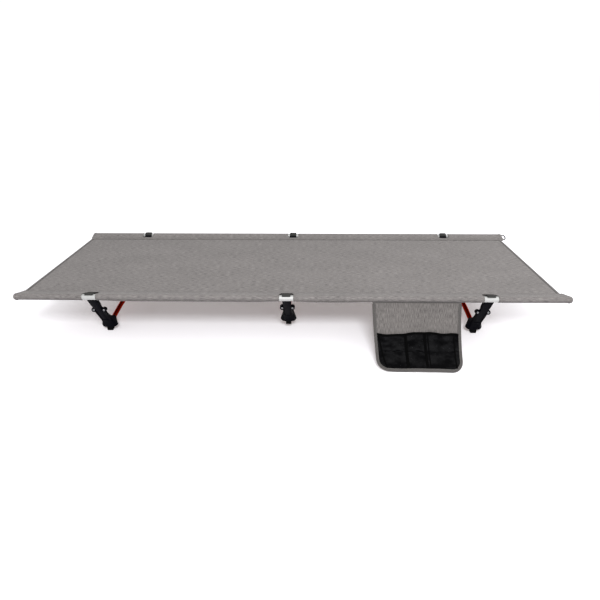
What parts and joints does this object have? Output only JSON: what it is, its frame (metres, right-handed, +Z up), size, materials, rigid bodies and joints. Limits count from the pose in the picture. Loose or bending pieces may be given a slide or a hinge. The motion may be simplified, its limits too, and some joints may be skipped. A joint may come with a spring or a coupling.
{
  "type": "camp bed",
  "caption": "Low folding camp bed: grey cloth stretched between straight tube rails on bowed legs with swinging levers, and a hanging flap with a net pocket.",
  "frame": {"origin": "on the ground, under the middle of the whole bed with its hanging flap", "axes": "+X along the rails, to the right of the picture; +Z up; the near side, with the flap, is at -Y"},
  "size_m": [1.9318, 0.8178, 0.2033],
  "materials": {
    "cloth_grey": "grey melange woven cloth",
    "tape_grey": "woven binding tape",
    "net_black": "fine black net",
    "tube_silver": "bright anodised",
    "pole_red": "dark red anodised",
    "nylon_black": "moulded, slightly grained",
    "foot_black": "matt",
    "bright_steel": "polished",
    "cord_grey": "braided cord"
  },
  "bodies": {
    "bed": {"main_panel": "cloth_grey", "left_hem": "tape_grey", "right_hem": "tape_grey", "near_sleeve": "cloth_grey", "near_rail_1": "tube_silver", "near_rail_2": "tube_silver", "near_rail_3": "tube_silver", "near_rail_ferrule_1": "tube_silver", "near_rail_ferrule_2": "tube_silver", "near_left_end_cap": "nylon_black", "near_right_end_cap": "nylon_black", "near_shock_cord": "cord_grey", "far_sleeve": "cloth_grey", "far_rail_1": "tube_silver", "far_rail_2": "tube_silver", "far_rail_3": "tube_silver", "far_rail_ferrule_1": "tube_silver", "far_rail_ferrule_2": "tube_silver", "far_left_end_cap": "nylon_black", "far_right_end_cap": "nylon_black", "far_shock_cord": "cord_grey", "corner_loop": "cord_grey"},
    "near_left_lever_body": {"near_left_lever": "nylon_black"},
    "near_left_hub_body": {"near_left_hub": "nylon_black", "near_left_axle": "bright_steel", "near_left_foot": "foot_black", "near_left_bow": "pole_red", "left_bow_ferrule": "tube_silver"},
    "far_left_lever_body": {"far_left_lever": "nylon_black"},
    "far_left_hub_body": {"far_left_hub": "nylon_black", "far_left_axle": "bright_steel", "far_left_foot": "foot_black", "far_left_bow": "pole_red"},
    "near_centre_lever_body": {"near_centre_lever": "nylon_black"},
    "near_centre_hub_body": {"near_centre_hub": "nylon_black", "near_centre_axle": "bright_steel", "near_centre_foot": "foot_black", "near_centre_bow": "pole_red", "centre_bow_ferrule": "tube_silver"},
    "far_centre_lever_body": {"far_centre_lever": "nylon_black"},
    "far_centre_hub_body": {"far_centre_hub": "nylon_black", "far_centre_axle": "bright_steel", "far_centre_foot": "foot_black", "far_centre_bow": "pole_red"},
    "near_right_lever_body": {"near_right_lever": "nylon_black"},
    "near_right_hub_body": {"near_right_hub": "nylon_black", "near_right_axle": "bright_steel", "near_right_foot": "foot_black", "near_right_bow": "pole_red", "right_bow_ferrule": "tube_silver"},
    "far_right_lever_body": {"far_right_lever": "nylon_black"},
    "far_right_hub_body": {"far_right_hub": "nylon_black", "far_right_axle": "bright_steel", "far_right_foot": "foot_black", "far_right_bow": "pole_red"},
    "flap": {"flap_panel": "cloth_grey", "flap_binding": "tape_grey", "pocket_net": "net_black", "pocket_top_tape": "net_black"}
  },
  "joints": [
    {"name": "near_left_lever_swing", "type": "hinge", "parent": "bed", "child": "near_left_lever_body", "pos_m": [-0.687, -0.25535, 0.18799], "axis": [-1, 0, 0], "range_deg": [0, 60]},
    {"name": "near_left_hub_turn", "type": "hinge", "parent": "near_left_lever_body", "child": "near_left_hub_body", "pos_m": [-0.687, -0.20822, 0.1148], "axis": [1, 0, 0], "range_deg": [0, 60]},
    {"name": "far_left_lever_swing", "type": "hinge", "parent": "bed", "child": "far_left_lever_body", "pos_m": [-0.687, 0.39715, 0.18799], "axis": [1, 0, 0], "range_deg": [0, 60]},
    {"name": "far_left_hub_turn", "type": "hinge", "parent": "far_left_lever_body", "child": "far_left_hub_body", "pos_m": [-0.687, 0.35002, 0.1148], "axis": [-1, 0, 0], "range_deg": [0, 60]},
    {"name": "near_centre_lever_swing", "type": "hinge", "parent": "bed", "child": "near_centre_lever_body", "pos_m": [-0.0065, -0.25535, 0.18799], "axis": [-1, 0, 0], "range_deg": [0, 60]},
    {"name": "near_centre_hub_turn", "type": "hinge", "parent": "near_centre_lever_body", "child": "near_centre_hub_body", "pos_m": [-0.0065, -0.19736, 0.12307], "axis": [1, 0, 0], "range_deg": [0, 60]},
    {"name": "far_centre_lever_swing", "type": "hinge", "parent": "bed", "child": "far_centre_lever_body", "pos_m": [-0.0065, 0.39715, 0.18799], "axis": [1, 0, 0], "range_deg": [0, 60]},
    {"name": "far_centre_hub_turn", "type": "hinge", "parent": "far_centre_lever_body", "child": "far_centre_hub_body", "pos_m": [-0.0065, 0.33916, 0.12307], "axis": [-1, 0, 0], "range_deg": [0, 60]},
    {"name": "near_right_lever_swing", "type": "hinge", "parent": "bed", "child": "near_right_lever_body", "pos_m": [0.687, -0.25535, 0.18799], "axis": [-1, 0, 0], "range_deg": [0, 60]},
    {"name": "near_right_hub_turn", "type": "hinge", "parent": "near_right_lever_body", "child": "near_right_hub_body", "pos_m": [0.687, -0.20822, 0.1148], "axis": [1, 0, 0], "range_deg": [0, 60]},
    {"name": "far_right_lever_swing", "type": "hinge", "parent": "bed", "child": "far_right_lever_body", "pos_m": [0.687, 0.39715, 0.18799], "axis": [1, 0, 0], "range_deg": [0, 60]},
    {"name": "far_right_hub_turn", "type": "hinge", "parent": "far_right_lever_body", "child": "far_right_hub_body", "pos_m": [0.687, 0.35002, 0.1148], "axis": [-1, 0, 0], "range_deg": [0, 60]},
    {"name": "flap_swing", "type": "hinge", "parent": "bed", "child": "flap", "pos_m": [0.43875, -0.26035, 0.17619], "axis": [-1, 0, 0], "range_deg": [0, 85]}
  ],
  "couplings": [
    {"joint": "near_left_hub_turn", "follows": "near_left_lever_swing", "ratio": 1},
    {"joint": "far_left_lever_swing", "follows": "near_left_lever_swing", "ratio": 1},
    {"joint": "far_left_hub_turn", "follows": "near_left_lever_swing", "ratio": 1},
    {"joint": "near_centre_hub_turn", "follows": "near_centre_lever_swing", "ratio": 1},
    {"joint": "far_centre_lever_swing", "follows": "near_centre_lever_swing", "ratio": 1},
    {"joint": "far_centre_hub_turn", "follows": "near_centre_lever_swing", "ratio": 1},
    {"joint": "near_right_hub_turn", "follows": "near_right_lever_swing", "ratio": 1},
    {"joint": "far_right_lever_swing", "follows": "near_right_lever_swing", "ratio": 1},
    {"joint": "far_right_hub_turn", "follows": "near_right_lever_swing", "ratio": 1}
  ]
}
